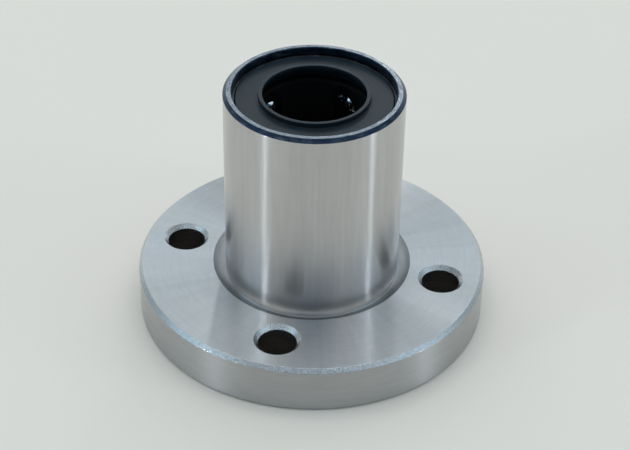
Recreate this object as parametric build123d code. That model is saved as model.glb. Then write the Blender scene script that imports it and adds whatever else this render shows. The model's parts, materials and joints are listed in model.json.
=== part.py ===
"""Round-flange linear ball bushing for a 12 mm shaft, as a bench assembly of separate pieces.

A hardened sleeve and its round bolt flange are one piece. Inside it a moulded cage holds four endless
circuits of steel balls. In each circuit seven balls carry the shaft between it and a raceway in the
sleeve, seven run back in a relief beside them, and two balls stand in the turn at each end. A wiper
seal on a steel backing ring closes each end, and a split retaining ring in a groove keeps it there.

Frame, in millimetres: the origin is the centre of the flange's outer face, +Z runs along the shaft
axis towards the plain end of the sleeve, and +X runs through one of the four bolt holes.
"""

from build123d import *
import math
import os

# Driving dimensions, of the standard size for a 12 mm shaft
SHAFT_D = 12.0
SLEEVE_D = 21.0
SLEEVE_LENGTH = 30.0
FLANGE_D = 42.0
FLANGE_THICK = 6.0
BOLT_CIRCLE_D = 32.0
BOLT_COUNT = 4
BOLT_HOLE_D = 4.5
BOLT_HEAD_D = 7.5
BOLT_HEAD_DEPTH = 4.1
BALL_D = 2.381

# Edges and the grinding relief at the foot of the sleeve
SLEEVE_CHAMFER = 0.42
FLANGE_TOP_CHAMFER = 0.46
FLANGE_FOOT_CHAMFER = 0.30
BOLT_HOLE_CHAMFER = 0.50
BOLT_HEAD_CHAMFER = 0.20
MOUTH_CHAMFER = 0.10
RELIEF_R = 12.0
RELIEF_DEPTH = 0.80
RELIEF_MID_DEPTH = 0.62

# Ends of the bore, each the mirror of the other
MOUTH_R = 9.5
GROOVE_R = 9.85
GROOVE_FROM_END = 0.90
GROOVE_WIDTH = 0.90
SHOULDER_FROM_END = 2.40
END_RELIEF_R = 9.3

# Ball circuits
CIRCUITS = 4
CIRCUIT_ANGLE = 60.0  # first raceway, turned from the bolt hole on +X
ROW_BALLS = 7
BALL_PITCH = 2.42
ROW_SPACING = 3.5  # from the loaded row to the return row
STRAIGHT_LENGTH = 17.36
TURN_BALL_ANGLES = (46.0, 134.0)  # round a turn, from the loaded side
RACEWAY_CLEARANCE = 0.05
RETURN_CLEARANCE = 0.06
CHANNEL_CLEARANCE = 0.08

# Cage
CAGE_BORE_R = 6.25
CAGE_R = 8.3
CAGE_END_GAP = 0.10
CAGE_CHAMFER = 0.25

# Seals, backing rings and retaining rings, measured from the end face that each lies under
SEAL_PLATE_FROM_END = 1.0
SEAL_PLATE_R = 9.15
SEAL_PLATE_ROUND = 0.15
SEAL_COLLAR_FROM_END = 0.42
SEAL_COLLAR_TOP_R = 6.45
SEAL_COLLAR_FOOT_R = 6.70
SEAL_LIP_LENGTH = 0.38
SEAL_THROAT_R = 6.75
SEAL_RIM_R = 9.4
SEAL_RIM_THICK = 0.35
BACKING_RING_THICK = 0.30
BACKING_RING_BORE_R = 6.95
RETAINING_RING_BORE_R = 9.22
RETAINING_RING_R = 9.80
RETAINING_RING_THICK = 0.70
RETAINING_RING_DROP = 0.15  # below the groove's outer wall
RETAINING_RING_GAP = 2.6
RETAINING_RING_GAP_ANGLE = 284.0

# Worked out from the above
SHAFT_R = SHAFT_D / 2
SLEEVE_R = SLEEVE_D / 2
FLANGE_R = FLANGE_D / 2
BALL_R = BALL_D / 2
PITCH_R = SHAFT_R + BALL_R
RACEWAY_R = SHAFT_R + BALL_D + RACEWAY_CLEARANCE
TURN_R = ROW_SPACING / 2
CHANNEL_R = BALL_R + CHANNEL_CLEARANCE
MID_Z = SLEEVE_LENGTH / 2
RACEWAY_LOW_Z = MID_Z - STRAIGHT_LENGTH / 2
RACEWAY_HIGH_Z = MID_Z + STRAIGHT_LENGTH / 2
CAGE_LOW_Z = SHOULDER_FROM_END + CAGE_END_GAP
CAGE_LENGTH = SLEEVE_LENGTH - 2 * CAGE_LOW_Z


def turned(points):
    """A solid of revolution about Z from a closed outline of (radius, height) points."""
    outline = Polyline(*[(r, 0, z) for r, z in points], close=True)
    return revolve(make_face(outline), axis=Axis.Z)


def ring(bore_r, outer_r, low_z, high_z):
    """A plain ring with square corners."""
    return turned([(bore_r, low_z), (outer_r, low_z), (outer_r, high_z), (bore_r, high_z)])


def at_lower_end(piece):
    """The same piece at the flange end, mirrored about the sleeve's middle."""
    return mirror(piece, about=Plane.XY.offset(MID_Z))


def bore_outline():
    """The inside of the sleeve from the foot to the plain end, as (radius, height) points."""
    half = [
        (MOUTH_R + MOUTH_CHAMFER, 0),
        (MOUTH_R, MOUTH_CHAMFER),
        (MOUTH_R, GROOVE_FROM_END),
        (GROOVE_R, GROOVE_FROM_END),
        (GROOVE_R, GROOVE_FROM_END + GROOVE_WIDTH),
        (MOUTH_R, GROOVE_FROM_END + GROOVE_WIDTH),
        (MOUTH_R, SHOULDER_FROM_END),
        (END_RELIEF_R, SHOULDER_FROM_END),
        (END_RELIEF_R, RACEWAY_LOW_Z),
        (RACEWAY_R, RACEWAY_LOW_Z),
    ]
    other_half = [(r, SLEEVE_LENGTH - z) for r, z in reversed(half)]
    return half + other_half


def sleeve_blank():
    """The turned sleeve and flange, before its holes and ball reliefs are cut."""
    bore = bore_outline()
    relief_z = FLANGE_THICK - RELIEF_DEPTH
    relief_mid_r = (SLEEVE_R + RELIEF_R) / 2
    relief_mid_z = FLANGE_THICK - RELIEF_MID_DEPTH
    above_relief = [
        (SLEEVE_R, relief_z),
        (SLEEVE_R, SLEEVE_LENGTH - SLEEVE_CHAMFER),
        (SLEEVE_R - SLEEVE_CHAMFER, SLEEVE_LENGTH),
    ]
    below_relief = [
        (FLANGE_R - FLANGE_FOOT_CHAMFER, 0),
        (FLANGE_R, FLANGE_FOOT_CHAMFER),
        (FLANGE_R, FLANGE_THICK - FLANGE_TOP_CHAMFER),
        (FLANGE_R - FLANGE_TOP_CHAMFER, FLANGE_THICK),
        (RELIEF_R, FLANGE_THICK),
    ]
    open_run = above_relief + bore[::-1] + below_relief
    relief = ThreePointArc(
        (RELIEF_R, 0, FLANGE_THICK), (relief_mid_r, 0, relief_mid_z), (SLEEVE_R, 0, relief_z)
    )
    outline = Polyline(*[(r, 0, z) for r, z in open_run]) + relief
    return revolve(make_face(outline), axis=Axis.Z)


def bolt_hole():
    """The space of one bolt hole on the axis: head recess below, plain hole and its chamfer above."""
    hole_r = BOLT_HOLE_D / 2
    head_r = BOLT_HEAD_D / 2
    return turned(
        [
            (0, -1),
            (head_r + BOLT_HEAD_CHAMFER, -1),
            (head_r + BOLT_HEAD_CHAMFER, 0),
            (head_r, BOLT_HEAD_CHAMFER),
            (head_r, BOLT_HEAD_DEPTH),
            (hole_r, BOLT_HEAD_DEPTH),
            (hole_r, FLANGE_THICK - BOLT_HOLE_CHAMFER),
            (hole_r + BOLT_HOLE_CHAMFER, FLANGE_THICK),
            (hole_r + BOLT_HOLE_CHAMFER, FLANGE_THICK + 1),
            (0, FLANGE_THICK + 1),
        ]
    )


def circuit_turn(index):
    """The turn about Z that carries something from the +X side to one circuit."""
    return Rot(0, 0, CIRCUIT_ANGLE + 360 / CIRCUITS * index)


def circuit_plane(index):
    """The flat plane of one circuit: local X is sideways, Y along the shaft and Z straight out."""
    flat = Plane(origin=(PITCH_R, 0, MID_Z), x_dir=(0, 1, 0), z_dir=(1, 0, 0))
    return circuit_turn(index) * flat.location


def flanged_sleeve():
    """Sleeve and flange with bolt holes and the four reliefs that the return rows run in."""
    sleeve = sleeve_blank() - PolarLocations(BOLT_CIRCLE_D / 2, BOLT_COUNT) * bolt_hole()
    relief = Pos(PITCH_R, ROW_SPACING, MID_Z) * Cylinder(
        BALL_R + RETURN_CLEARANCE, STRAIGHT_LENGTH + 1
    )
    for index in range(CIRCUITS):
        sleeve -= circuit_turn(index) * relief
    return sleeve


def channel_section(side):
    """A trough with a round floor, open outwards, across the local X at the given place."""
    top = CAGE_R
    walls = Polyline(
        (side - CHANNEL_R, 0, 0), (side - CHANNEL_R, 0, top),
        (side + CHANNEL_R, 0, top), (side + CHANNEL_R, 0, 0),
    )
    floor = ThreePointArc(
        (side + CHANNEL_R, 0, 0), (side, 0, -CHANNEL_R), (side - CHANNEL_R, 0, 0)
    )
    return make_face(walls + floor)


def ball_channel():
    """The endless trough of one circuit, in the circuit's own plane."""
    half = STRAIGHT_LENGTH / 2
    turn_axis = Axis((TURN_R, 0, 0), (0, 0, 1))
    loaded_run, return_run = [
        Pos(0, half, 0) * extrude(channel_section(side), STRAIGHT_LENGTH, dir=(0, -1, 0))
        for side in (0, ROW_SPACING)
    ]
    start = channel_section(0)
    upper_turn = Pos(0, half, 0) * revolve(start, axis=turn_axis, revolution_arc=-180)
    lower_turn = Pos(0, -half, 0) * revolve(start, axis=turn_axis, revolution_arc=180)
    return loaded_run + return_run + upper_turn + lower_turn


def ball_cage():
    """The moulded cage: a tube with four troughs, each open to the shaft along its loaded row."""
    low, high = CAGE_LOW_Z, CAGE_LOW_Z + CAGE_LENGTH
    cage = turned(
        [
            (CAGE_BORE_R + CAGE_CHAMFER, low),
            (CAGE_R - CAGE_CHAMFER, low),
            (CAGE_R, low + CAGE_CHAMFER),
            (CAGE_R, high - CAGE_CHAMFER),
            (CAGE_R - CAGE_CHAMFER, high),
            (CAGE_BORE_R + CAGE_CHAMFER, high),
            (CAGE_BORE_R, high - CAGE_CHAMFER),
            (CAGE_BORE_R, low + CAGE_CHAMFER),
        ]
    )
    channel = ball_channel()
    for index in range(CIRCUITS):
        cage -= circuit_plane(index) * channel
    return cage


def upper_seal():
    """Rubber wiper: a raised collar round the shaft, a flat plate, and a rim under the ring."""
    plate_z = SLEEVE_LENGTH - SEAL_PLATE_FROM_END
    collar_z = SLEEVE_LENGTH - SEAL_COLLAR_FROM_END
    foot_z = SLEEVE_LENGTH - SHOULDER_FROM_END + BACKING_RING_THICK
    rim_z = foot_z + SEAL_RIM_THICK
    edge = 0.06
    return turned(
        [
            (SEAL_THROAT_R, foot_z),
            (SEAL_RIM_R, foot_z),
            (SEAL_RIM_R, rim_z),
            (SEAL_PLATE_R, rim_z),
            (SEAL_PLATE_R, plate_z - SEAL_PLATE_ROUND),
            (SEAL_PLATE_R - SEAL_PLATE_ROUND, plate_z),
            (SEAL_COLLAR_FOOT_R, plate_z),
            (SEAL_COLLAR_TOP_R, collar_z - edge),
            (SEAL_COLLAR_TOP_R - edge, collar_z),
            (SHAFT_R, collar_z),
            (SHAFT_R, collar_z - SEAL_LIP_LENGTH),
        ]
    )


def upper_backing_ring():
    """Steel ring bonded under the seal. It sits on the shoulder in the sleeve."""
    low_z = SLEEVE_LENGTH - SHOULDER_FROM_END
    return ring(BACKING_RING_BORE_R, SEAL_RIM_R, low_z, low_z + BACKING_RING_THICK)


def upper_retaining_ring():
    """Split spring ring of flat wire, sprung into the groove over the seal's rim."""
    high_z = SLEEVE_LENGTH - GROOVE_FROM_END - RETAINING_RING_DROP
    low_z = high_z - RETAINING_RING_THICK
    full = ring(RETAINING_RING_BORE_R, RETAINING_RING_R, low_z, high_z)
    gap = Pos(RETAINING_RING_R, 0, high_z) * Box(4, RETAINING_RING_GAP, 4)
    return full - Rot(0, 0, RETAINING_RING_GAP_ANGLE) * gap


def ball_at(index, side, along):
    """One ball of a circuit, at its place in the circuit's own plane."""
    return circuit_plane(index) * Pos(side, along, 0) * Sphere(BALL_R)


def row_places():
    """Heights of a straight row's balls from the sleeve's middle, top ball first."""
    return [BALL_PITCH * ((ROW_BALLS - 1) / 2 - n) for n in range(ROW_BALLS)]


def turn_places(end):
    """(side, along) of the balls in the turn at the upper (+1) or lower (-1) end."""
    places = []
    for angle in TURN_BALL_ANGLES:
        side = TURN_R - TURN_R * math.cos(math.radians(angle))
        along = end * (STRAIGHT_LENGTH / 2 + TURN_R * math.sin(math.radians(angle)))
        places.append((side, along))
    return places


def circuit_balls(index):
    """Every ball of one circuit, by node name. The return row is one node of separate balls."""
    circuit = f"circuit_{index + 1}"
    balls = {}
    for n, along in enumerate(row_places(), start=1):
        balls[f"{circuit}_load_ball_{n}"] = ball_at(index, 0, along)
    balls[f"{circuit}_return_balls"] = Compound(
        [ball_at(index, ROW_SPACING, along) for along in row_places()]
    )
    for end_name, end in (("upper", 1), ("lower", -1)):
        for n, (side, along) in enumerate(turn_places(end), start=1):
            balls[f"{circuit}_{end_name}_turn_ball_{n}"] = ball_at(index, side, along)
    return balls


def all_parts():
    """Every piece of the bushing, by node name."""
    parts = {
        "flanged_sleeve": flanged_sleeve(),
        "ball_cage": ball_cage(),
        "upper_seal": upper_seal(),
        "upper_backing_ring": upper_backing_ring(),
        "upper_retaining_ring": upper_retaining_ring(),
    }
    for name in ("seal", "backing_ring", "retaining_ring"):
        parts[f"lower_{name}"] = at_lower_end(parts[f"upper_{name}"])
    for index in range(CIRCUITS):
        parts.update(circuit_balls(index))
    return parts


os.makedirs("parts", exist_ok=True)
for node, shape in all_parts().items():
    export_step(shape, f"parts/{node}.step")
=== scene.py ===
"""The finished look of a round-flange linear ball bushing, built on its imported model.

Turned pieces are lathed from outlines in millimetres, the balls are rows made by one node tree, and
the moulded cage is a cleaned copy of its CAD solid. Every steel surface gets the marks of the tool
that made it: rings on the flange's face, bands round the ground sleeve, and a dark heat-treated end.
"""

import json
import math

import bmesh
import bpy
from mathutils import Matrix, Vector


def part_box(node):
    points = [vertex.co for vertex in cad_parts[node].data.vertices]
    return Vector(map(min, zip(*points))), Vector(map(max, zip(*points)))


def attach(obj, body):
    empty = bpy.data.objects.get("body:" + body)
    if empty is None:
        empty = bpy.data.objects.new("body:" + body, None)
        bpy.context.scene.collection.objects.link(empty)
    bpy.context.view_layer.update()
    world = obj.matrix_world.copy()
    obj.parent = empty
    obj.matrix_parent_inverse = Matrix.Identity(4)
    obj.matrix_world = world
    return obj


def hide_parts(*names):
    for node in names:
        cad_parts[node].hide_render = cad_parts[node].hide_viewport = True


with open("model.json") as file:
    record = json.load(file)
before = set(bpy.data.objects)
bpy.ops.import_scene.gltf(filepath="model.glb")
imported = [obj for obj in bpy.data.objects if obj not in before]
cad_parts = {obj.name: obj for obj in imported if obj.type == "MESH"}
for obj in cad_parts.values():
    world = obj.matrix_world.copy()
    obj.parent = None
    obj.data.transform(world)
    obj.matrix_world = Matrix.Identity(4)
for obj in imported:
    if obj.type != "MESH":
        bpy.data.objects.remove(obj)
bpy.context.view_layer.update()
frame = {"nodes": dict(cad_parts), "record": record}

MM = 0.001

# ---------------------------------------------------------------------------------------------
# Sizes in millimetres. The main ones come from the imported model's own mounts and boxes.
# ---------------------------------------------------------------------------------------------

MOUNTS = {mount["name"]: mount for mount in frame["record"]["mounts"]}
SHAFT_R = MOUNTS["shaft_bore"]["dims"]["r_mm"]
SLEEVE_R = MOUNTS["sleeve_outside"]["dims"]["r_mm"]
BOLT_CIRCLE_R = MOUNTS["flange_bolts"]["dims"]["pcd_mm"] / 2
BOLT_HOLE_R = MOUNTS["flange_bolts"]["dims"]["hole_r_mm"]
BOLT_COUNT = MOUNTS["flange_bolts"]["dims"]["count"]
FLANGE_THICK = MOUNTS["flange_seat"]["pos_m"][2] / MM
FLANGE_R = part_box("flanged_sleeve")[1].x / MM
SLEEVE_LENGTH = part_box("flanged_sleeve")[1].z / MM
MID_Z = SLEEVE_LENGTH / 2

SLEEVE_CHAMFER = 0.42
FLANGE_TOP_CHAMFER = 0.46
FLANGE_FOOT_CHAMFER = 0.30
BOLT_HOLE_CHAMFER = 0.50
BOLT_HEAD_R = 3.75
BOLT_HEAD_DEPTH = 4.1
BOLT_HEAD_CHAMFER = 0.20
MOUTH_R = 9.5
MOUTH_CHAMFER = 0.10
GROOVE_R = 9.85
GROOVE_FROM_END = 0.90
GROOVE_WIDTH = 0.90
SHOULDER_FROM_END = 2.40
END_RELIEF_R = 9.3
RACEWAY_R = 8.431
RACEWAY_FROM_END = 6.32
GRINDING_RELIEF_R = 12.0
GRINDING_RELIEF_DEPTH = 0.80
GRINDING_RELIEF_MID_DEPTH = 0.62
RETURN_RELIEF_R = 1.2505
EDGE_BREAK = 0.05

# The wiper seal and its two rings. FROM_END is a distance under the end face that they lie at.
SEAL_COLLAR_FROM_END = 0.42
SEAL_COLLAR_TOP_R = 6.45
SEAL_COLLAR_FOOT_R = 6.50
SEAL_LIP_FROM_END = 0.80
SEAL_PLATE_FROM_END = 1.00
SEAL_PLATE_R = 9.15
SEAL_RIM_FROM_END = 1.75
SEAL_RIM_R = 9.40
SEAL_FOOT_FROM_END = 2.10
SEAL_THROAT_R = 6.75
BACKING_RING_BORE_R = 6.95
RETAINING_RING_BORE_R = 9.22
RETAINING_RING_R = 9.80
RETAINING_RING_FROM_END = 1.05
RETAINING_RING_GAP = 2.6
RETAINING_RING_GAP_R = 9.5
RETAINING_RING_GAP_ANGLE = math.radians(284)
SHEET_ROUND = 0.04
WIRE_ROUND = 0.06

# Rounding of the lathed outlines and how finely they are cut
SEGMENTS = 288
HOLE_SEGMENTS = 72
ARC_STEPS = 4
SUPPORT = 0.05
SHARP_ANGLE = math.radians(38)

BODY = "housing"
CIRCUITS = 4
ROW_BALLS = 7
TURN_BALLS = 2


# ---------------------------------------------------------------------------------------------
# Mesh helpers
# ---------------------------------------------------------------------------------------------

def softened(corners, closed=False):
    """Ring points (radius, height, finish) for corners (radius, height, rounding, finish).

    A corner's finish is that of the surface after it. A rounded corner becomes a short arc with a
    support ring on each side, so that the long faces beside it stay straight when shaded smooth.
    """
    rings = []
    count = len(corners)
    for i, (radius, height, rounding, finish) in enumerate(corners):
        at_end = not closed and i in (0, count - 1)
        if at_end or not rounding:
            rings.append((radius, height, finish))
            continue
        here = Vector((radius, height))
        into = (here - Vector(corners[i - 1][:2])).normalized()
        out = (Vector(corners[(i + 1) % count][:2]) - here).normalized()
        turn = math.atan2(into.x * out.y - into.y * out.x, into.dot(out))
        reach = rounding * math.tan(abs(turn) / 2)
        start = here - into * reach
        left = Vector((-into.y, into.x)) * math.copysign(1, turn)
        centre = start + left * rounding
        finish_before = corners[i - 1][3]
        rings.append((*(start - into * SUPPORT), finish_before))
        for step in range(ARC_STEPS + 1):
            spoke = (start - centre).copy()
            spoke.rotate(Matrix.Rotation(turn * step / ARC_STEPS, 2))
            rings.append((*(centre + spoke), finish_before if step < ARC_STEPS / 2 else finish))
        rings.append((*(here + out * (reach + SUPPORT)), finish))
    return rings


def lathe(bm, rings, finishes, segments=SEGMENTS, centre=(0, 0), closed=False):
    """Sweep rings round a vertical axis and return the two end circles.

    A ring's radius may be a function of the angle.
    """
    circles = []
    for radius, height, _ in rings:
        circle = []
        for s in range(segments):
            angle = 2 * math.pi * s / segments
            r = radius(angle) if callable(radius) else radius
            place = (centre[0] + r * math.cos(angle), centre[1] + r * math.sin(angle), height)
            circle.append(bm.verts.new(place))
        circles.append(circle)
    strips = list(zip(circles, circles[1:], rings))
    if closed:
        strips.append((circles[-1], circles[0], rings[-1]))
    for low, high, (_, _, finish) in strips:
        for s in range(segments):
            following = (s + 1) % segments
            face = bm.faces.new((low[s], low[following], high[following], high[s]))
            face.material_index = finishes.index(finish)
    return circles[0], circles[-1]


def flat_plate(bm, circles, up, finish_index):
    """Fill the flat area between circles of vertices that lie in one level plane."""
    edges = []
    for circle in circles:
        for a, b in zip(circle, circle[1:] + circle[:1]):
            edges.append(bm.edges.get((a, b)) or bm.edges.new((a, b)))
    filled = bmesh.ops.triangle_fill(bm, edges=edges, use_beauty=True, normal=(0, 0, up))
    for face in filled["geom"]:
        if isinstance(face, bmesh.types.BMFace):
            face.material_index = finish_index


def finished_piece(name, bm, finishes, nodes):
    """Close a mesh in millimetres, shade it, give it its finishes and let it stand for its nodes."""
    bmesh.ops.remove_doubles(bm, verts=bm.verts, dist=1e-6)
    bmesh.ops.recalc_face_normals(bm, faces=bm.faces)
    mesh = bpy.data.meshes.new(name)
    bm.to_mesh(mesh)
    bm.free()
    mesh.transform(Matrix.Scale(MM, 4))
    for finish in finishes:
        mesh.materials.append(MATERIALS[finish])
    mesh.shade_smooth()
    mesh.set_sharp_from_angle(angle=SHARP_ANGLE)
    obj = bpy.data.objects.new(name, mesh)
    bpy.context.scene.collection.objects.link(obj)
    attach(obj, BODY)
    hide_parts(*nodes)


# ---------------------------------------------------------------------------------------------
# Node helpers
# ---------------------------------------------------------------------------------------------

def add_node(tree, kind, inputs=(), **settings):
    """One node with its settings. Inputs are (name or index, value or socket) pairs."""
    made = tree.nodes.new(kind)
    for key, value in settings.items():
        setattr(made, key, value)
    for key, value in inputs:
        if isinstance(value, bpy.types.NodeSocket):
            tree.links.new(value, made.inputs[key])
        else:
            made.inputs[key].default_value = value
    return made


def maths(tree, operation, *values):
    """The result socket of one Math node."""
    return add_node(tree, "ShaderNodeMath", enumerate(values), operation=operation).outputs[0]


def ramp(tree, value, low, high, to_low=0.0, to_high=1.0):
    """value mapped from low..high to to_low..to_high, clamped."""
    inputs = (
        ("Value", value), ("From Min", low), ("From Max", high), ("To Min", to_low), ("To Max", to_high)
    )
    return add_node(tree, "ShaderNodeMapRange", inputs).outputs["Result"]


def mixed(tree, factor, first, second):
    """Two colours mixed by a factor."""
    mix = add_node(tree, "ShaderNodeMix", data_type="RGBA")
    for socket, value in zip((mix.inputs[0], mix.inputs[6], mix.inputs[7]), (factor, first, second)):
        if isinstance(value, bpy.types.NodeSocket):
            tree.links.new(value, socket)
        else:
            socket.default_value = value if socket is mix.inputs[0] else (*value, 1)
    return mix.outputs[2]


def new_group(name, inputs, outputs):
    """A shader node group with named sockets. inputs are (name, kind, default or None)."""
    tree = bpy.data.node_groups.new(name, "ShaderNodeTree")
    for socket_name, kind, default in inputs:
        socket = tree.interface.new_socket(socket_name, in_out="INPUT", socket_type=kind)
        if default is not None:
            socket.default_value = default
    for socket_name, kind in outputs:
        tree.interface.new_socket(socket_name, in_out="OUTPUT", socket_type=kind)
    return tree, tree.nodes.new("NodeGroupInput").outputs, tree.nodes.new("NodeGroupOutput").inputs


def use_group(tree, group, **inputs):
    """Place a group in a material. Its inputs are given by name, with _ for a space."""
    made = tree.nodes.new("ShaderNodeGroup")
    made.node_tree = group
    for key, value in inputs.items():
        socket = made.inputs[key.replace("_", " ")]
        if isinstance(value, bpy.types.NodeSocket):
            tree.links.new(value, socket)
        else:
            socket.default_value = value
    return made.outputs


# ---------------------------------------------------------------------------------------------
# Shared effects
# ---------------------------------------------------------------------------------------------

PIT_CELLS = 0.42  # places for a pit, per millimetre
PIT_DEPTH = 0.8
PIT_COLOUR = (0.05, 0.045, 0.04)
RUB_STRETCH = 0.09
RUB_DARKNESS = 0.72


def round_place_group():
    """Where a point lies on a turned piece: radius and height in millimetres, and its direction."""
    tree, given, result = new_group(
        "round_place",
        [("Vector", "NodeSocketVector", None)],
        [("Radius", "NodeSocketFloat"), ("Height", "NodeSocketFloat"), ("Spin", "NodeSocketVector")],
    )
    scaled = add_node(
        tree, "ShaderNodeVectorMath", ((0, given["Vector"]), ("Scale", 1 / MM)), operation="SCALE"
    )
    split = add_node(tree, "ShaderNodeSeparateXYZ", ((0, scaled.outputs[0]),))
    level = add_node(
        tree, "ShaderNodeCombineXYZ", (("X", split.outputs["X"]), ("Y", split.outputs["Y"]))
    )
    length = add_node(
        tree, "ShaderNodeVectorMath", ((0, level.outputs[0]),), operation="LENGTH"
    )
    spin = add_node(
        tree, "ShaderNodeVectorMath", ((0, level.outputs[0]),), operation="NORMALIZE"
    )
    tree.links.new(length.outputs["Value"], result["Radius"])
    tree.links.new(split.outputs["Z"], result["Height"])
    tree.links.new(spin.outputs[0], result["Spin"])
    return tree


def tool_marks_group():
    """Fine lines left by a tool or wheel that ran round the piece, at a coarse and a fine pitch."""
    tree, given, result = new_group(
        "tool_marks",
        [
            ("Across", "NodeSocketFloat", 0.0),
            ("Spin", "NodeSocketVector", None),
            ("Coarse Pitch", "NodeSocketFloat", 0.6),
            ("Fine Pitch", "NodeSocketFloat", 0.09),
            ("Breaks", "NodeSocketFloat", 3.0),
        ],
        [("Height", "NodeSocketFloat"), ("Tone", "NodeSocketFloat")],
    )

    def lines(pitch, breaks, detail):
        depth = maths(tree, "DIVIDE", given["Across"], pitch)
        around = add_node(
            tree, "ShaderNodeVectorMath", ((0, given["Spin"]), ("Scale", breaks)), operation="SCALE"
        )
        lift = add_node(tree, "ShaderNodeCombineXYZ", (("Z", depth),))
        place = add_node(tree, "ShaderNodeVectorMath", ((0, around.outputs[0]), (1, lift.outputs[0])))
        inputs = (("Vector", place.outputs[0]), ("Scale", 1.0), ("Detail", detail), ("Roughness", 0.6))
        return add_node(tree, "ShaderNodeTexNoise", inputs).outputs["Fac"]

    coarse = lines(given["Coarse Pitch"], given["Breaks"], 3.0)
    fine = lines(given["Fine Pitch"], maths(tree, "MULTIPLY", given["Breaks"], 3.0), 2.0)
    tree.links.new(maths(tree, "ADD", maths(tree, "MULTIPLY", coarse, 0.45), fine), result["Height"])
    tree.links.new(
        maths(tree, "ADD", maths(tree, "MULTIPLY", coarse, 0.6), maths(tree, "MULTIPLY", fine, 0.4)),
        result["Tone"],
    )
    return tree


def handling_group():
    """Small dark pits and soft smudges from handling."""
    tree, given, result = new_group(
        "handling",
        [
            ("Vector", "NodeSocketVector", None),
            ("Pit Size", "NodeSocketFloat", 0.12),
            ("Pit Share", "NodeSocketFloat", 0.06),
            ("Smudge Size", "NodeSocketFloat", 6.0),
        ],
        [("Pits", "NodeSocketFloat"), ("Smudge", "NodeSocketFloat")],
    )
    scaled = add_node(
        tree, "ShaderNodeVectorMath", ((0, given["Vector"]), ("Scale", 1 / MM)), operation="SCALE"
    )
    cell = add_node(
        tree, "ShaderNodeTexVoronoi",
        (("Vector", scaled.outputs[0]), ("Scale", PIT_CELLS), ("Randomness", 1.0)),
    )
    lottery = add_node(tree, "ShaderNodeSeparateColor", ((0, cell.outputs["Color"]),))
    chosen = maths(tree, "LESS_THAN", lottery.outputs[0], given["Pit Share"])
    reach = maths(tree, "MULTIPLY", given["Pit Size"], lottery.outputs[1])
    distance = maths(tree, "DIVIDE", cell.outputs["Distance"], PIT_CELLS)
    inside = maths(tree, "LESS_THAN", distance, reach)
    tree.links.new(maths(tree, "MULTIPLY", chosen, inside), result["Pits"])
    frequency = maths(tree, "DIVIDE", 1.0, given["Smudge Size"])
    smudge = add_node(
        tree, "ShaderNodeTexNoise",
        (("Vector", scaled.outputs[0]), ("Scale", frequency), ("Detail", 4.0), ("Roughness", 0.55)),
    )
    tree.links.new(ramp(tree, smudge.outputs["Fac"], 0.35, 0.75), result["Smudge"])
    return tree


def rub_marks_group():
    """Soft marks that run across the tool's lines, along a sleeve or outwards on a face."""
    tree, given, result = new_group(
        "rub_marks",
        [
            ("Spin", "NodeSocketVector", None),
            ("Along", "NodeSocketFloat", 0.0),
            ("Narrowness", "NodeSocketFloat", 16.0),
        ],
        [("Rub", "NodeSocketFloat")],
    )
    around_it = add_node(
        tree, "ShaderNodeVectorMath", ((0, given["Spin"]), ("Scale", given["Narrowness"])),
        operation="SCALE",
    )
    lift = add_node(
        tree, "ShaderNodeCombineXYZ", (("Z", maths(tree, "MULTIPLY", given["Along"], RUB_STRETCH)),)
    )
    place = add_node(tree, "ShaderNodeVectorMath", ((0, around_it.outputs[0]), (1, lift.outputs[0])))
    noise = add_node(
        tree, "ShaderNodeTexNoise",
        (("Vector", place.outputs[0]), ("Scale", 1.0), ("Detail", 4.0), ("Roughness", 0.6)),
    ).outputs["Fac"]
    tree.links.new(ramp(tree, noise, 0.35, 0.70), result["Rub"])
    return tree


ROUND_PLACE = round_place_group()
TOOL_MARKS = tool_marks_group()
HANDLING = handling_group()
RUB_MARKS = rub_marks_group()


# ---------------------------------------------------------------------------------------------
# Materials
# ---------------------------------------------------------------------------------------------

def new_material(name):
    """An empty material with its tree, its shader and the Object coordinates of a point."""
    material = bpy.data.materials.new(name)
    material.use_nodes = True
    tree = material.node_tree
    shader = tree.nodes["Principled BSDF"]
    vector = tree.nodes.new("ShaderNodeTexCoord").outputs["Object"]
    return material, tree, shader, vector


def connect(tree, shader, **inputs):
    """Set or link shader inputs by name, with _ for a space."""
    for key, value in inputs.items():
        socket = shader.inputs[key.replace("_", " ")]
        if isinstance(value, bpy.types.NodeSocket):
            tree.links.new(value, socket)
        else:
            socket.default_value = value


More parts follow.
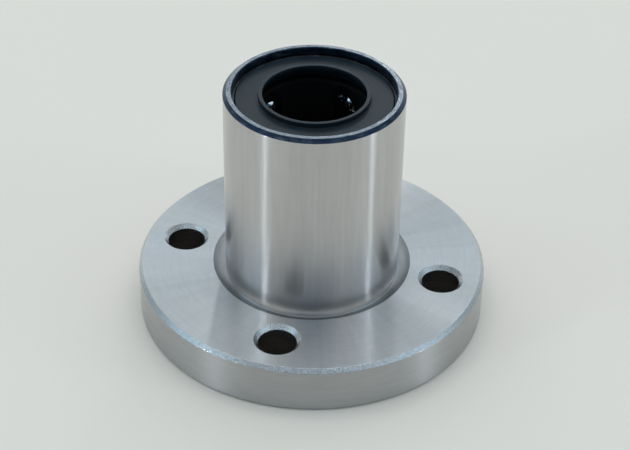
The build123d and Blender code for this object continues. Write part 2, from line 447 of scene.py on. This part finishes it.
def machined_steel(
    name, across, colour, shade, roughness, marks, anisotropy=0.9, relief=0.002, unevenness=0.15,
    pits=0.05, smudge=0.05, rub=0.0,
):
    """Bright steel with tool marks that run round the piece.

    across is Radius on a face and Height on a wall. marks is the coarse pitch and the fine pitch
    of the lines in millimetres, and how often they break. relief is their depth in millimetres.
    pits, smudge and rub are shares of wear from 0 to 1.
    """
    material, tree, shader, vector = new_material(name)
    place = use_group(tree, ROUND_PLACE, Vector=vector)
    coarse_pitch, fine_pitch, breaks = marks
    lines = use_group(
        tree, TOOL_MARKS, Across=place[across], Spin=place["Spin"],
        Coarse_Pitch=coarse_pitch, Fine_Pitch=fine_pitch, Breaks=breaks,
    )
    wear = use_group(tree, HANDLING, Vector=vector, Pit_Share=pits)
    tone = ramp(tree, lines["Tone"], 0.3, 0.7)
    smudged = maths(tree, "MULTIPLY", wear["Smudge"], smudge * 4)
    worn = mixed(tree, smudged, mixed(tree, tone, shade, colour), shade)
    if rub:
        rubbed = use_group(tree, RUB_MARKS, Spin=place["Spin"], Along=place[across])["Rub"]
        rub_shade = tuple(RUB_DARKNESS * c for c in shade)
        worn = mixed(tree, maths(tree, "MULTIPLY", rubbed, rub), worn, rub_shade)
    pitted = mixed(tree, maths(tree, "MULTIPLY", wear["Pits"], PIT_DEPTH), worn, PIT_COLOUR)
    rough = maths(
        tree, "ADD",
        ramp(
            tree, lines["Tone"], 0.3, 0.7, roughness * (1 + unevenness), roughness * (1 - unevenness)
        ),
        maths(tree, "MULTIPLY", wear["Smudge"], smudge * 0.4),
    )
    bump = add_node(
        tree, "ShaderNodeBump",
        (("Height", lines["Height"]), ("Strength", 1.0), ("Distance", relief * MM)),
    )
    tangent = add_node(tree, "ShaderNodeTangent", direction_type="RADIAL", axis="Z")
    connect(
        tree, shader, Base_Color=pitted, Metallic=1.0, Roughness=rough, Anisotropic=anisotropy,
        Anisotropic_Rotation=0.25, Tangent=tangent.outputs[0], Normal=bump.outputs[0],
    )
    return material


def dark_oxide(name, colour, edge_colour, roughness):
    """Heat-treated steel left dark, with a thin brighter wear here and there."""
    material, tree, shader, vector = new_material(name)
    place = use_group(tree, ROUND_PLACE, Vector=vector)
    lines = use_group(
        tree, TOOL_MARKS, Across=place["Height"], Spin=place["Spin"],
        Coarse_Pitch=0.25, Fine_Pitch=0.06, Breaks=6.0,
    )
    wear = use_group(tree, HANDLING, Vector=vector, Smudge_Size=1.2, Pit_Share=0.0)
    rubbed = maths(tree, "MULTIPLY", wear["Smudge"], ramp(tree, lines["Tone"], 0.42, 0.65))
    base = mixed(tree, rubbed, colour, edge_colour)
    bump = add_node(
        tree, "ShaderNodeBump", (("Height", lines["Height"]), ("Distance", 0.003 * MM))
    )
    rough = ramp(tree, wear["Smudge"], 0.0, 1.0, roughness * 0.85, roughness * 1.2)
    connect(
        tree, shader, Base_Color=base, Metallic=0.85, Roughness=rough, Normal=bump.outputs[0]
    )
    return material


def moulded_rubber(name, colour, dust_colour, roughness):
    """Moulded rubber: satin, very finely grained, with a little dust and rub marks."""
    material, tree, shader, vector = new_material(name)
    wear = use_group(tree, HANDLING, Vector=vector, Smudge_Size=2.4, Pit_Share=0.0)
    grain = add_node(
        tree, "ShaderNodeTexNoise", (("Vector", vector), ("Scale", 9000.0), ("Detail", 3.0))
    ).outputs["Fac"]
    dust = add_node(
        tree, "ShaderNodeTexNoise", (("Vector", vector), ("Scale", 2600.0), ("Detail", 5.0))
    ).outputs["Fac"]
    specks = ramp(tree, dust, 0.66, 0.74)
    base = mixed(tree, maths(tree, "MULTIPLY", specks, 0.5), colour, dust_colour)
    base = mixed(tree, maths(tree, "MULTIPLY", wear["Smudge"], 0.25), base, dust_colour)
    rough = ramp(tree, wear["Smudge"], 0.0, 1.0, roughness, roughness * 1.25)
    bump = add_node(tree, "ShaderNodeBump", (("Height", grain), ("Distance", 0.004 * MM)))
    connect(
        tree, shader, Base_Color=base, Metallic=0.0, Roughness=rough, Specular_IOR_Level=0.29,
        Normal=bump.outputs[0],
    )
    return material


def moulded_resin(name, colour, roughness):
    """Hard black moulded resin with faint flow marks along the shaft."""
    material, tree, shader, vector = new_material(name)
    stretched = add_node(
        tree, "ShaderNodeMapping", (("Vector", vector), ("Scale", (2400.0, 2400.0, 260.0)))
    )
    flow = add_node(
        tree, "ShaderNodeTexNoise", (("Vector", stretched.outputs[0]), ("Scale", 1.0), ("Detail", 3.0))
    ).outputs["Fac"]
    base = mixed(tree, ramp(tree, flow, 0.3, 0.7), colour, tuple(c * 1.6 for c in colour))
    bump = add_node(tree, "ShaderNodeBump", (("Height", flow), ("Distance", 0.004 * MM)))
    connect(
        tree, shader, Base_Color=base, Roughness=ramp(tree, flow, 0.3, 0.7, roughness, roughness * 1.3),
        Specular_IOR_Level=0.08, Normal=bump.outputs[0],
    )
    return material


def polished_steel(name, colour, roughness):
    """Lapped ball steel under a thin film of oil."""
    material, tree, shader, vector = new_material(name)
    film = add_node(
        tree, "ShaderNodeTexNoise", (("Vector", vector), ("Scale", 1400.0), ("Detail", 3.0))
    ).outputs["Fac"]
    base = mixed(tree, ramp(tree, film, 0.3, 0.7), colour, tuple(c * 0.86 for c in colour))
    connect(
        tree, shader, Base_Color=base, Metallic=1.0,
        Roughness=ramp(tree, film, 0.3, 0.7, roughness, roughness * 2.2),
    )
    return material


MATERIALS = {
    "ground": machined_steel(
        "ground_sleeve_steel", "Height", (0.575, 0.563, 0.555), (0.56, 0.547, 0.54), 0.22,
        (0.9, 0.10, 0.8), anisotropy=1.0, relief=0.00002, unevenness=0.01, pits=0.07, smudge=0.01,
        rub=0.34,
    ),
    "face": machined_steel(
        "turned_flange_face", "Radius", (0.56, 0.56, 0.56), (0.48, 0.48, 0.485), 0.31,
        (0.35, 0.12, 4.0), anisotropy=0.91, relief=0.0010, unevenness=0.10, pits=0.04, smudge=0.04,
        rub=0.25,
    ),
    # Painted shade: the hollow round the sleeve's foot is the same turned steel as the flange's face,
    # but it is coloured darker for the shade that falls in it.
    "relief": machined_steel(
        "turned_relief_painted_shade", "Radius", (0.37, 0.375, 0.38), (0.30, 0.305, 0.31), 0.30,
        (0.3, 0.10, 4.0), anisotropy=0.5, relief=0.001,
    ),
    "rim": machined_steel(
        "turned_flange_rim", "Height", (0.50, 0.50, 0.50), (0.43, 0.43, 0.43), 0.33,
        (0.5, 0.12, 5.0), anisotropy=0.86, relief=0.001, unevenness=0.10,
    ),
    "edge": machined_steel(
        "cut_edge", "Height", (0.62, 0.62, 0.62), (0.38, 0.38, 0.38), 0.26,
        (0.2, 0.05, 60.0), anisotropy=0.1, relief=0.020, unevenness=0.25, pits=0.0,
    ),
    # Painted shade: the bolt holes' walls are the same steel as the flange, but they are coloured far
    # darker for the shade inside the holes.
    "hole": machined_steel(
        "drilled_wall_painted_shade", "Height", (0.16, 0.15, 0.14), (0.10, 0.09, 0.085), 0.45,
        (0.4, 0.12, 6.0), anisotropy=0.3, relief=0.006,
    ),
    "end_face": machined_steel(
        "ground_end_face", "Radius", (0.46, 0.49, 0.52), (0.07, 0.09, 0.12), 0.28,
        (0.25, 0.08, 9.0), anisotropy=0.0, relief=0.010, unevenness=0.3,
    ),
    "dark": dark_oxide("heat_treated_end", (0.009, 0.019, 0.040), (0.11, 0.15, 0.20), 0.32),
    # Painted shade: the raceway is the same ground steel as the sleeve's outside, but it is coloured
    # darker for the shade inside the bore.
    "raceway": machined_steel(
        "ground_raceway_painted_shade", "Height", (0.20, 0.20, 0.20), (0.16, 0.16, 0.16), 0.30,
        (0.6, 0.10, 2.0), anisotropy=0.8,
    ),
    "spring": dark_oxide("oiled_spring_steel", (0.03, 0.032, 0.038), (0.12, 0.13, 0.14), 0.35),
    "pressed": dark_oxide("phosphated_sheet_steel", (0.012, 0.012, 0.013), (0.04, 0.04, 0.042), 0.5),
    "rubber": moulded_rubber("seal_rubber", (0.004, 0.010, 0.016), (0.020, 0.034, 0.045), 0.38),
    "resin": moulded_resin("cage_resin", (0.0014, 0.0014, 0.0016), 0.55),
    "ball": polished_steel("ball_steel", (0.70, 0.70, 0.71), 0.07),
}


# ---------------------------------------------------------------------------------------------
# The flanged sleeve
# ---------------------------------------------------------------------------------------------

def return_row_places():
    """Level places of the four return rows, in millimetres."""
    places = []
    for index in range(CIRCUITS):
        low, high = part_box(f"circuit_{index + 1}_return_balls")
        places.append(Vector(((low.x + high.x) / 2, (low.y + high.y) / 2)) / MM)
    return places


RETURN_ROWS = return_row_places()


def raceway_radius(angle):
    """The bore's radius between the ends: a circle with a half-round relief behind each return row."""
    ray = Vector((math.cos(angle), math.sin(angle)))
    radius = RACEWAY_R
    for place in RETURN_ROWS:
        along = ray.dot(place)
        aside_squared = place.length_squared - along * along
        if along > 0 and aside_squared < RETURN_RELIEF_R**2:
            radius = max(radius, along + math.sqrt(RETURN_RELIEF_R**2 - aside_squared))
    return radius


def grinding_relief():
    """The hollow turned in the flange round the foot of the sleeve, from the flange's face inwards."""
    start = Vector((GRINDING_RELIEF_R, FLANGE_THICK))
    end = Vector((SLEEVE_R, FLANGE_THICK - GRINDING_RELIEF_DEPTH))
    middle = Vector(((GRINDING_RELIEF_R + SLEEVE_R) / 2, FLANGE_THICK - GRINDING_RELIEF_MID_DEPTH))
    control = middle * 2 - (start + end) / 2
    steps = 10
    curve = []
    for step in range(1, steps):
        t = step / steps
        point = start * (1 - t) ** 2 + control * 2 * t * (1 - t) + end * t**2
        curve.append((point.x, point.y, 0, "relief"))
    return curve


def bore_half():
    """Corners of the bore from an end face to its middle, as (radius, distance from the end, ...)."""
    return [
        (MOUTH_R + MOUTH_CHAMFER, 0, 0.03, "dark"),
        (MOUTH_R, MOUTH_CHAMFER, 0.03, "dark"),
        (MOUTH_R, GROOVE_FROM_END, 0.03, "dark"),
        (GROOVE_R, GROOVE_FROM_END, 0.03, "dark"),
        (GROOVE_R, GROOVE_FROM_END + GROOVE_WIDTH, 0.03, "dark"),
        (MOUTH_R, GROOVE_FROM_END + GROOVE_WIDTH, 0.03, "dark"),
        (MOUTH_R, SHOULDER_FROM_END, 0.03, "dark"),
        (END_RELIEF_R, SHOULDER_FROM_END, 0.03, "dark"),
        (END_RELIEF_R, RACEWAY_FROM_END, 0.03, "raceway"),
    ]


def inner_run():
    """From the flange's face over the sleeve, down the bore and out at the foot."""
    top = SLEEVE_LENGTH
    corners = [
        (GRINDING_RELIEF_R + 0.2, FLANGE_THICK, 0, "face"),
        (GRINDING_RELIEF_R, FLANGE_THICK, EDGE_BREAK, "relief"),
        *grinding_relief(),
        (SLEEVE_R, FLANGE_THICK - GRINDING_RELIEF_DEPTH, 0.06, "ground"),
        (SLEEVE_R, top - SLEEVE_CHAMFER, EDGE_BREAK, "dark"),
        (SLEEVE_R - SLEEVE_CHAMFER, top, EDGE_BREAK, "end_face"),
    ]
    down = bore_half()
    corners += [(r, top - z, rounding, finish) for r, z, rounding, finish in down]
    upper = softened(corners + [(RACEWAY_R, top - RACEWAY_FROM_END, 0, "raceway")])[:-1]
    lower_corners = [(RACEWAY_R, RACEWAY_FROM_END, 0, "raceway")]
    lower_corners += [(r, z, rounding, finish) for r, z, rounding, finish in reversed(down)]
    lower_corners.append((MOUTH_R + MOUTH_CHAMFER + 0.2, 0, 0, "face"))
    lower = softened(lower_corners)[1:]
    raceway = [
        (raceway_radius, top - RACEWAY_FROM_END, "raceway"),
        (raceway_radius, RACEWAY_FROM_END, "raceway"),
    ]
    return upper + raceway + lower


def outer_run():
    """From the flange's foot round its rim to its upper face."""
    return softened([
        (FLANGE_R - FLANGE_FOOT_CHAMFER - 0.2, 0, 0, "face"),
        (FLANGE_R - FLANGE_FOOT_CHAMFER, 0, EDGE_BREAK, "edge"),
        (FLANGE_R, FLANGE_FOOT_CHAMFER, EDGE_BREAK, "rim"),
        (FLANGE_R, FLANGE_THICK - FLANGE_TOP_CHAMFER, EDGE_BREAK, "edge"),
        (FLANGE_R - FLANGE_TOP_CHAMFER, FLANGE_THICK, EDGE_BREAK, "face"),
        (FLANGE_R - FLANGE_TOP_CHAMFER - 0.2, FLANGE_THICK, 0, "face"),
    ])


def bolt_hole_run():
    """One bolt hole from the flange's face down its chamfer and wall, and out of the head recess."""
    top = FLANGE_THICK
    return softened([
        (BOLT_HOLE_R + BOLT_HOLE_CHAMFER + 0.2, top, 0, "face"),
        (BOLT_HOLE_R + BOLT_HOLE_CHAMFER, top, 0.04, "edge"),
        (BOLT_HOLE_R, top - BOLT_HOLE_CHAMFER, 0.04, "hole"),
        (BOLT_HOLE_R, BOLT_HEAD_DEPTH, 0.04, "hole"),
        (BOLT_HEAD_R, BOLT_HEAD_DEPTH, 0.04, "hole"),
        (BOLT_HEAD_R, BOLT_HEAD_CHAMFER, 0.04, "edge"),
        (BOLT_HEAD_R + BOLT_HEAD_CHAMFER, 0, 0.04, "face"),
        (BOLT_HEAD_R + BOLT_HEAD_CHAMFER + 0.2, 0, 0, "face"),
    ])


def flanged_sleeve():
    """Sleeve and flange as one closed skin: two lathed runs, four holes and two flat faces."""
    finishes = ["ground", "face", "relief", "rim", "edge", "hole", "end_face", "dark", "raceway"]
    bm = bmesh.new()
    top_inner, foot_inner = lathe(bm, inner_run(), finishes)
    foot_outer, top_outer = lathe(bm, outer_run(), finishes)
    top_circles = [top_inner, top_outer]
    foot_circles = [foot_inner, foot_outer]
    for index in range(BOLT_COUNT):
        angle = 2 * math.pi * index / BOLT_COUNT
        centre = (BOLT_CIRCLE_R * math.cos(angle), BOLT_CIRCLE_R * math.sin(angle))
        top, foot = lathe(bm, bolt_hole_run(), finishes, HOLE_SEGMENTS, centre)
        top_circles.append(top)
        foot_circles.append(foot)
    flat_plate(bm, top_circles, 1, finishes.index("face"))
    flat_plate(bm, foot_circles, -1, finishes.index("face"))
    finished_piece("flanged_sleeve_skin", bm, finishes, ["flanged_sleeve"])


# ---------------------------------------------------------------------------------------------
# Seals, rings and cage
# ---------------------------------------------------------------------------------------------

def seal_outline():
    """The rubber wiper as (radius, distance under the end face, rounding, finish) corners."""
    return [
        (SEAL_THROAT_R, SEAL_FOOT_FROM_END, 0.04, "rubber"),
        (SEAL_RIM_R, SEAL_FOOT_FROM_END, 0.04, "rubber"),
        (SEAL_RIM_R, SEAL_RIM_FROM_END, 0.04, "rubber"),
        (SEAL_PLATE_R, SEAL_RIM_FROM_END, 0.04, "rubber"),
        (SEAL_PLATE_R, SEAL_PLATE_FROM_END, 0.12, "rubber"),
        (SEAL_COLLAR_FOOT_R, SEAL_PLATE_FROM_END, 0.05, "rubber"),
        (SEAL_COLLAR_TOP_R, SEAL_COLLAR_FROM_END, 0.07, "rubber"),
        (SHAFT_R, SEAL_COLLAR_FROM_END, 0.06, "rubber"),
        (SHAFT_R, SEAL_LIP_FROM_END, 0.05, "rubber"),
    ]


def end_seal(end, from_top):
    """One seal. from_top turns a distance under the end face into a height."""
    bm = bmesh.new()
    corners = [(r, from_top(z), rounding, finish) for r, z, rounding, finish in seal_outline()]
    lathe(bm, softened(corners, closed=True), ["rubber"], segments=192, closed=True)
    finished_piece(f"{end}_seal_wiper", bm, ["rubber"], [f"{end}_seal"])


def backing_ring(end, from_top):
    """The thin steel ring under a seal."""
    corners = [
        (BACKING_RING_BORE_R, from_top(SHOULDER_FROM_END), SHEET_ROUND, "pressed"),
        (SEAL_RIM_R, from_top(SHOULDER_FROM_END), SHEET_ROUND, "pressed"),
        (SEAL_RIM_R, from_top(SEAL_FOOT_FROM_END), SHEET_ROUND, "pressed"),
        (BACKING_RING_BORE_R, from_top(SEAL_FOOT_FROM_END), SHEET_ROUND, "pressed"),
    ]
    bm = bmesh.new()
    lathe(bm, softened(corners, closed=True), ["pressed"], segments=144, closed=True)
    finished_piece(f"{end}_backing_plate", bm, ["pressed"], [f"{end}_backing_ring"])


def retaining_ring(end, from_top):
    """The split ring over a seal's rim, swept from one side of its gap to the other and capped."""
    corners = [
        (RETAINING_RING_BORE_R, from_top(SEAL_RIM_FROM_END), WIRE_ROUND, "spring"),
        (RETAINING_RING_R, from_top(SEAL_RIM_FROM_END), WIRE_ROUND, "spring"),
        (RETAINING_RING_R, from_top(RETAINING_RING_FROM_END), WIRE_ROUND, "spring"),
        (RETAINING_RING_BORE_R, from_top(RETAINING_RING_FROM_END), WIRE_ROUND, "spring"),
    ]
    rings = softened(corners, closed=True)
    bm = bmesh.new()
    steps = 180
    half_gap = math.asin(RETAINING_RING_GAP / 2 / RETAINING_RING_GAP_R)
    circles = []
    for step in range(steps + 1):
        angle = RETAINING_RING_GAP_ANGLE + half_gap + (2 * math.pi - 2 * half_gap) * step / steps
        circles.append(
            [bm.verts.new((r * math.cos(angle), r * math.sin(angle), z)) for r, z, _ in rings]
        )
    for first, second in zip(circles, circles[1:]):
        for k in range(len(rings)):
            following = (k + 1) % len(rings)
            bm.faces.new((first[k], first[following], second[following], second[k]))
    bm.faces.new(circles[0])
    bm.faces.new(circles[-1])
    finished_piece(f"{end}_snap_ring", bm, ["spring"], [f"{end}_retaining_ring"])


def cleaned_copy(node, name, finish):
    """A merged and smoothed copy of a CAD node's mesh."""
    bm = bmesh.new()
    bm.from_mesh(frame["nodes"][node].data)
    bmesh.ops.remove_doubles(bm, verts=bm.verts, dist=1e-7)
    bmesh.ops.scale(bm, vec=(1 / MM, 1 / MM, 1 / MM), verts=bm.verts)
    finished_piece(name, bm, [finish], [node])


# ---------------------------------------------------------------------------------------------
# Balls
# ---------------------------------------------------------------------------------------------

def ball_row_tree():
    """A node tree that sets a row of smooth balls from a start place and a step."""
    tree = bpy.data.node_groups.new("ball_row", "GeometryNodeTree")
    sockets = (
        ("Start", "NodeSocketVector"), ("Step", "NodeSocketVector"), ("Count", "NodeSocketInt"),
        ("Radius", "NodeSocketFloat"), ("Material", "NodeSocketMaterial"),
    )
    for name, kind in sockets:
        tree.interface.new_socket(name, in_out="INPUT", socket_type=kind)
    tree.interface.new_socket("Geometry", in_out="OUTPUT", socket_type="NodeSocketGeometry")
    given = tree.nodes.new("NodeGroupInput").outputs
    line = add_node(
        tree, "GeometryNodeMeshLine",
        (("Count", given["Count"]), ("Start Location", given["Start"]), ("Offset", given["Step"])),
        mode="OFFSET",
    )
    ball = add_node(
        tree, "GeometryNodeMeshIcoSphere", (("Radius", given["Radius"]), ("Subdivisions", 4))
    )
    row = add_node(
        tree, "GeometryNodeInstanceOnPoints",
        (("Points", line.outputs["Mesh"]), ("Instance", ball.outputs["Mesh"])),
    )
    real = add_node(tree, "GeometryNodeRealizeInstances", (("Geometry", row.outputs[0]),))
    smooth = add_node(tree, "GeometryNodeSetShadeSmooth", (("Geometry", real.outputs[0]),))
    finish = add_node(
        tree, "GeometryNodeSetMaterial",
        (("Geometry", smooth.outputs[0]), ("Material", given["Material"])),
    )
    result = tree.nodes.new("NodeGroupOutput")
    tree.links.new(finish.outputs[0], result.inputs["Geometry"])
    return tree


BALL_ROW = ball_row_tree()


def ball_row(name, body, nodes, start, step, count, radius):
    """One row of balls as a plain mesh that rides on its own body."""
    holder = bpy.data.objects.new(name, bpy.data.meshes.new(name))
    bpy.context.scene.collection.objects.link(holder)
    modifier = holder.modifiers.new("balls", "NODES")
    modifier.node_group = BALL_ROW
    values = {
        "Start": start, "Step": step, "Count": count, "Radius": radius, "Material": MATERIALS["ball"]
    }
    for item in BALL_ROW.interface.items_tree:
        if item.in_out == "INPUT":
            modifier[item.identifier] = values[item.name]
    bpy.context.view_layer.update()
    evaluated = holder.evaluated_get(bpy.context.evaluated_depsgraph_get())
    mesh = bpy.data.meshes.new_from_object(evaluated)
    holder.modifiers.remove(modifier)
    holder.data = mesh
    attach(holder, body)
    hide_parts(*nodes)


def centre_of(node):
    """The middle of a CAD node's box."""
    low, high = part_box(node)
    return (low + high) / 2


def circuit(index):
    """The four rows of balls of one circuit."""
    name = f"circuit_{index + 1}"
    low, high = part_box(f"{name}_load_ball_1")
    radius = (high.z - low.z) / 2
    load_nodes = [f"{name}_load_ball_{n + 1}" for n in range(ROW_BALLS)]
    start = centre_of(load_nodes[0])
    step = centre_of(load_nodes[1]) - start
    ball_row(
        f"{name}_loaded_balls", f"{name}_loaded_row", load_nodes, start, step, ROW_BALLS, radius
    )
    back = centre_of(f"{name}_return_balls")
    back.z = start.z
    ball_row(
        f"{name}_returning_balls", f"{name}_return_row", [f"{name}_return_balls"],
        back, step, ROW_BALLS, radius,
    )
    for end in ("upper", "lower"):
        nodes = [f"{name}_{end}_turn_ball_{n + 1}" for n in range(TURN_BALLS)]
        first, second = centre_of(nodes[0]), centre_of(nodes[1])
        ball_row(
            f"{name}_{end}_turning_balls", f"{name}_{end}_turn", nodes,
            first, second - first, TURN_BALLS, radius,
        )


# ---------------------------------------------------------------------------------------------
# Floor, light and camera
# ---------------------------------------------------------------------------------------------

VIEW_AZIMUTH = math.radians(13.584)
VIEW_ELEVATION = math.radians(36.488)
VIEW_ROLL = math.radians(1.0718)
VIEW_DISTANCE = 203.33 * MM
VIEW_LENS = 96.49
VIEW_TARGET = Vector((0.324, 0.0, 10.877)) * MM

FLOOR_COLOURS = ((0.760, 0.690, 0.615), (0.775, 0.712, 0.640))
ROOM_COLOUR = (0.42, 0.52, 0.58)
ROOM_FRONT_COLOUR = (0.045, 0.105, 0.175)
ROOM_FRONT_ELEVATION = 25
LIGHT_DISTANCE = 1.8
SOFT_LIGHTS = (
    # name, azimuth, elevation, width, height, brightness, colour. The angles are in degrees.
    ("window_back_left", -150, 20, 36, 36, 1.00, (0.87, 0.94, 1.0)),
    ("window_back_right", 150, 20, 36, 36, 0.88, (0.87, 0.94, 1.0)),
    ("wall_back", 180, 18, 22, 30, 0.45, (1.0, 0.98, 0.95)),
    ("window_left", -78, 34, 36, 26, 0.85, (0.46, 0.76, 1.0)),
    ("window_right", 76, 34, 40, 26, 0.65, (0.50, 0.78, 1.0)),
    ("ceiling_left", -90, 64, 50, 26, 1.00, (1.0, 0.93, 0.82)),
    ("ceiling_right", 90, 64, 50, 26, 0.75, (1.0, 0.93, 0.82)),
    ("ceiling", 180, 84, 34, 34, 1.50, (0.95, 0.98, 1.0)),
    ("ceiling_front", 9, 53, 56, 6, 2.60, (0.80, 0.92, 1.0)),
    ("lamp_left", -57.5, 9, 0.7, 16, 145.0, (0.84, 0.94, 1.0)),
    ("lamp_right", 71.5, 6, 0.7, 10, 215.0, (0.84, 0.94, 1.0)),
    ("strip_back", 176, 27, 3, 10, 6.0, (0.95, 0.98, 1.0)),
    ("strip_back_right", 150, 46, 4, 4, 16.0, (0.95, 0.98, 1.0)),
)


def around(azimuth, elevation, distance):
    """A place round the object. Azimuth is in degrees to the right of the camera, seen from it."""
    a, e = math.radians(azimuth), math.radians(elevation)
    place = Vector((math.sin(a) * math.cos(e), -math.cos(a) * math.cos(e), math.sin(e))) * distance
    return Matrix.Rotation(VIEW_AZIMUTH, 3, "Z") @ place


def add_camera():
    """The camera, tilted down at the bushing and rolled by a degree."""
    data = bpy.data.cameras.new("camera")
    data.lens = VIEW_LENS
    data.sensor_width = 36.0
    data.clip_start = 0.01
    camera = bpy.data.objects.new("camera", data)
    turn = Matrix.Rotation(VIEW_AZIMUTH, 4, "Z")
    tilt = Matrix.Rotation(math.pi / 2 - VIEW_ELEVATION, 4, "X")
    roll = Matrix.Rotation(VIEW_ROLL, 4, "Z")
    back_off = Matrix.Translation((0, 0, VIEW_DISTANCE))
    camera.matrix_world = turn @ Matrix.Translation(VIEW_TARGET) @ tilt @ back_off @ roll
    bpy.context.scene.collection.objects.link(camera)
    bpy.context.scene.camera = camera


def add_floor():
    """A plain pale table top with the faintest unevenness."""
    bm = bmesh.new()
    bmesh.ops.create_grid(bm, x_segments=1, y_segments=1, size=8.0)
    mesh = bpy.data.meshes.new("floor")
    bm.to_mesh(mesh)
    bm.free()
    material, tree, shader, vector = new_material("pale_floor")
    cloud = add_node(
        tree, "ShaderNodeTexNoise", (("Vector", vector), ("Scale", 14.0), ("Detail", 3.0))
    ).outputs["Fac"]
    base = mixed(tree, cloud, *FLOOR_COLOURS)
    connect(tree, shader, Base_Color=base, Roughness=0.6, Specular_IOR_Level=0.25)
    mesh.materials.append(material)
    floor = bpy.data.objects.new("floor", mesh)
    bpy.context.scene.collection.objects.link(floor)


def add_soft_light(name, azimuth, elevation, width, height, brightness, colour):
    """A soft light that faces the bushing. Width and height are degrees, seen from the bushing."""
    data = bpy.data.lights.new(name, "AREA")
    data.shape = "RECTANGLE"
    data.size = 2 * LIGHT_DISTANCE * math.tan(math.radians(width) / 2)
    data.size_y = 2 * LIGHT_DISTANCE * math.tan(math.radians(height) / 2)
    data.energy = math.pi * data.size * data.size_y * brightness
    data.color = colour
    light = bpy.data.objects.new(name, data)
    place = around(azimuth, elevation, LIGHT_DISTANCE)
    light.location = place
    light.rotation_euler = (-place).to_track_quat("-Z", "Y").to_euler()
    bpy.context.scene.collection.objects.link(light)


def add_world():
    """A dim, slightly blue room, darker on the side that the bushing is looked at from."""
    world = bpy.data.worlds.new("room")
    world.use_nodes = True
    tree = world.node_tree
    background = tree.nodes["Background"]
    direction = tree.nodes.new("ShaderNodeTexCoord").outputs["Generated"]
    front = around(0, ROOM_FRONT_ELEVATION, 1.0)
    facing = add_node(
        tree, "ShaderNodeVectorMath", ((0, direction), (1, front)), operation="DOT_PRODUCT"
    ).outputs["Value"]
    colour = mixed(tree, ramp(tree, facing, 0.35, 0.92), ROOM_COLOUR, ROOM_FRONT_COLOUR)
    tree.links.new(colour, background.inputs["Color"])
    background.inputs["Strength"].default_value = 1.0
    bpy.context.scene.world = world


def build():
    """Make every piece, then the stage."""
    top = SLEEVE_LENGTH
    ends = {"upper": lambda depth: top - depth, "lower": lambda depth: depth}
    flanged_sleeve()
    for end, from_top in ends.items():
        end_seal(end, from_top)
        backing_ring(end, from_top)
        retaining_ring(end, from_top)
    cleaned_copy("ball_cage", "moulded_cage", "resin")
    for index in range(CIRCUITS):
        circuit(index)
    add_floor()
    add_world()
    for light in SOFT_LIGHTS:
        add_soft_light(*light)
    add_camera()
    bpy.context.scene.view_settings.view_transform = "Standard"


build()
